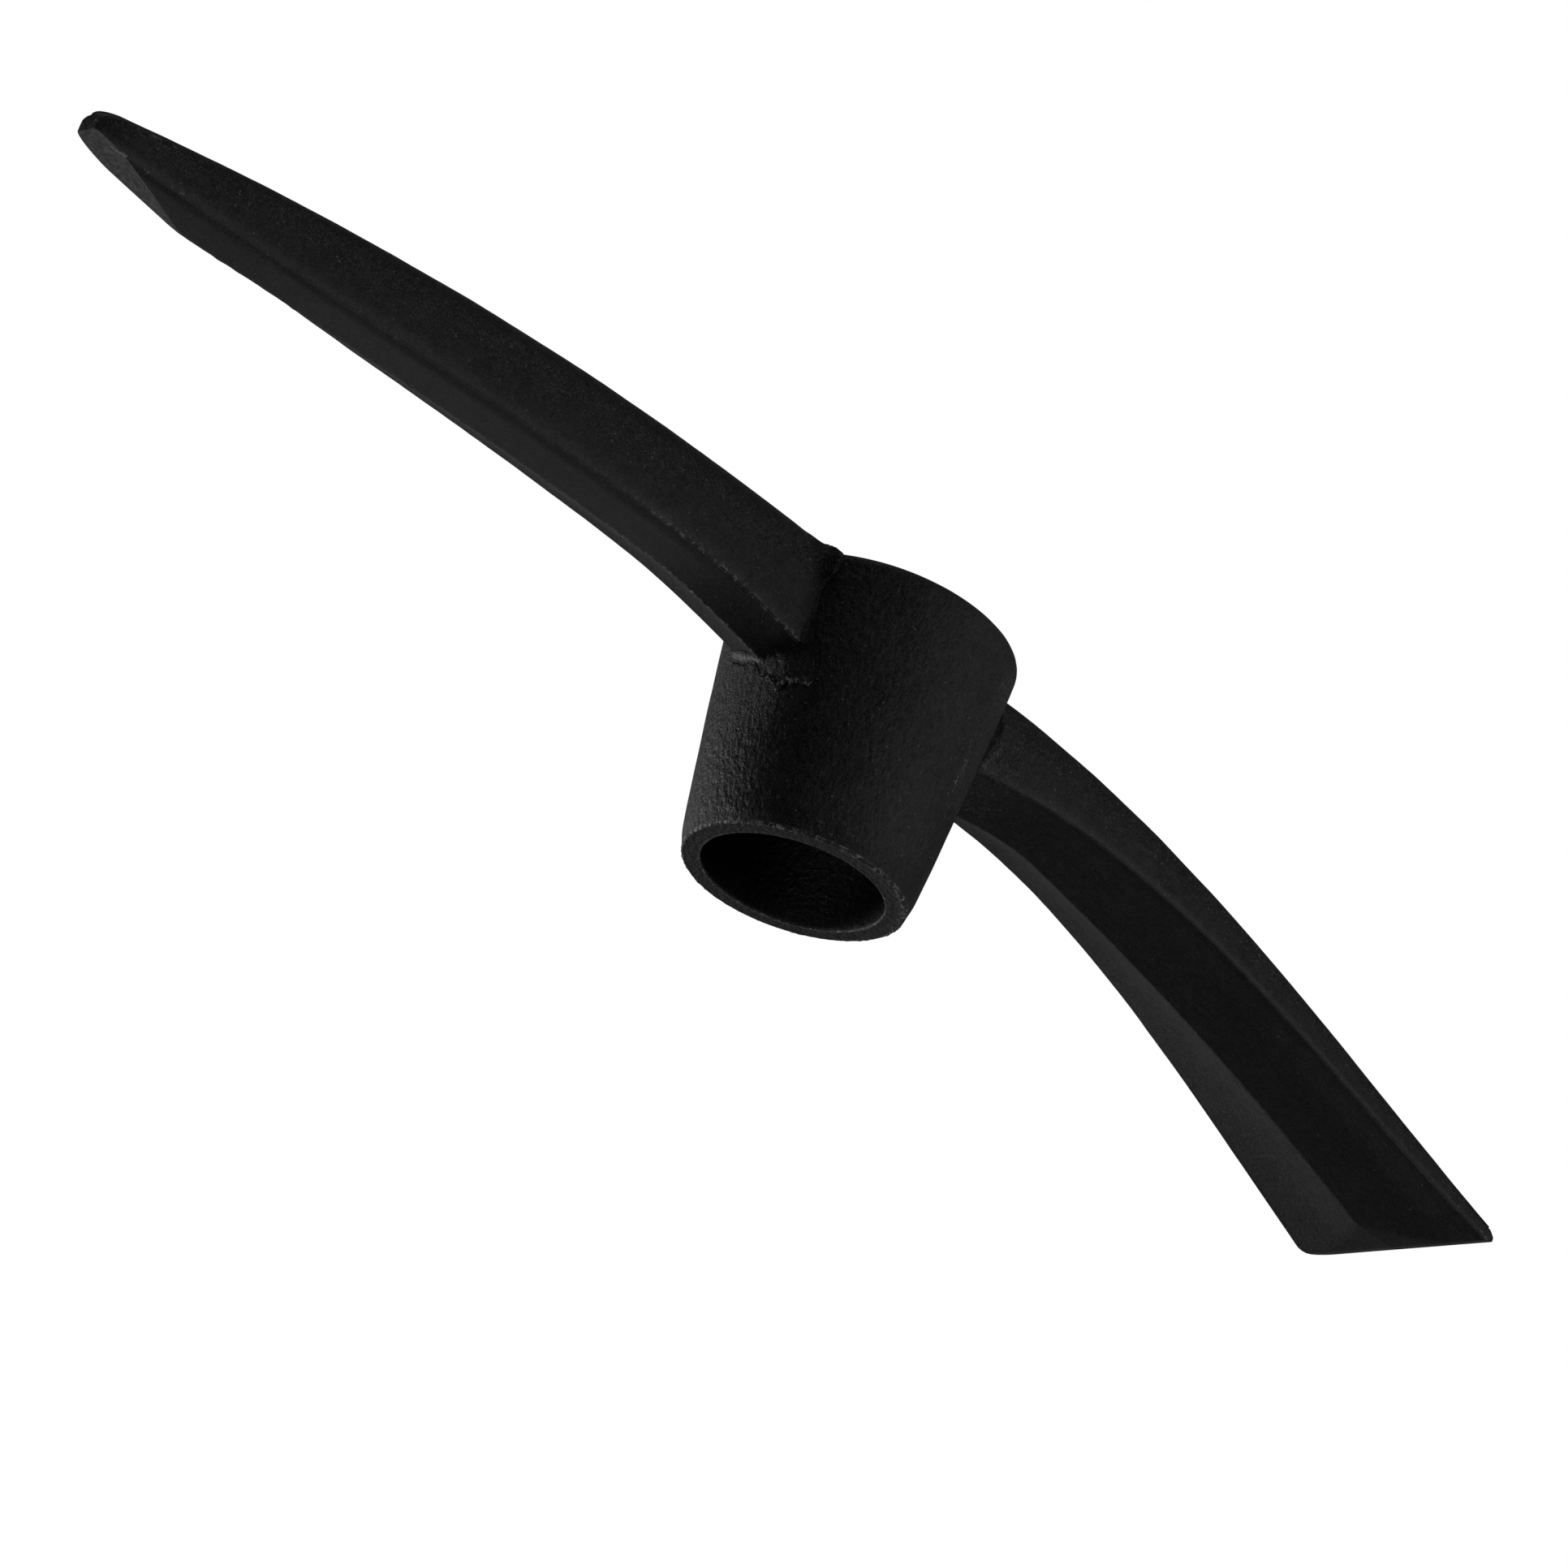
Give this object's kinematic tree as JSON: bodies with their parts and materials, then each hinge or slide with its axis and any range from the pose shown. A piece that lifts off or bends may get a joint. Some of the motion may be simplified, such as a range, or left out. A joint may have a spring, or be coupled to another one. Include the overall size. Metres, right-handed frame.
{
  "type": "pick mattock head",
  "caption": "Head of a pick mattock: a tapered round eye for a handle, with a pointed pick arm on one side and a flared chisel arm on the other, forged steel painted satin black",
  "frame": {"origin": "on the axis of the eye, in the plane of its narrow rim", "axes": "Z runs along the eye to its wide end, where the handle goes in; X runs from the pick arm to the chisel arm; Y is across the chisel's edge"},
  "size_m": [0.471, 0.0646, 0.0687],
  "materials": {
    "eye_paint": "satin black",
    "pick_paint": "satin black",
    "chisel_paint": "satin black",
    "pick_weld_paint": "satin black",
    "chisel_weld_paint": "satin black"
  },
  "bodies": {
    "root": {"eye_socket": "eye_paint", "pick_arm": "pick_paint", "chisel_arm": "chisel_paint", "pick_root_weld": "pick_weld_paint", "chisel_root_weld": "chisel_weld_paint"}
  },
  "joints": []
}
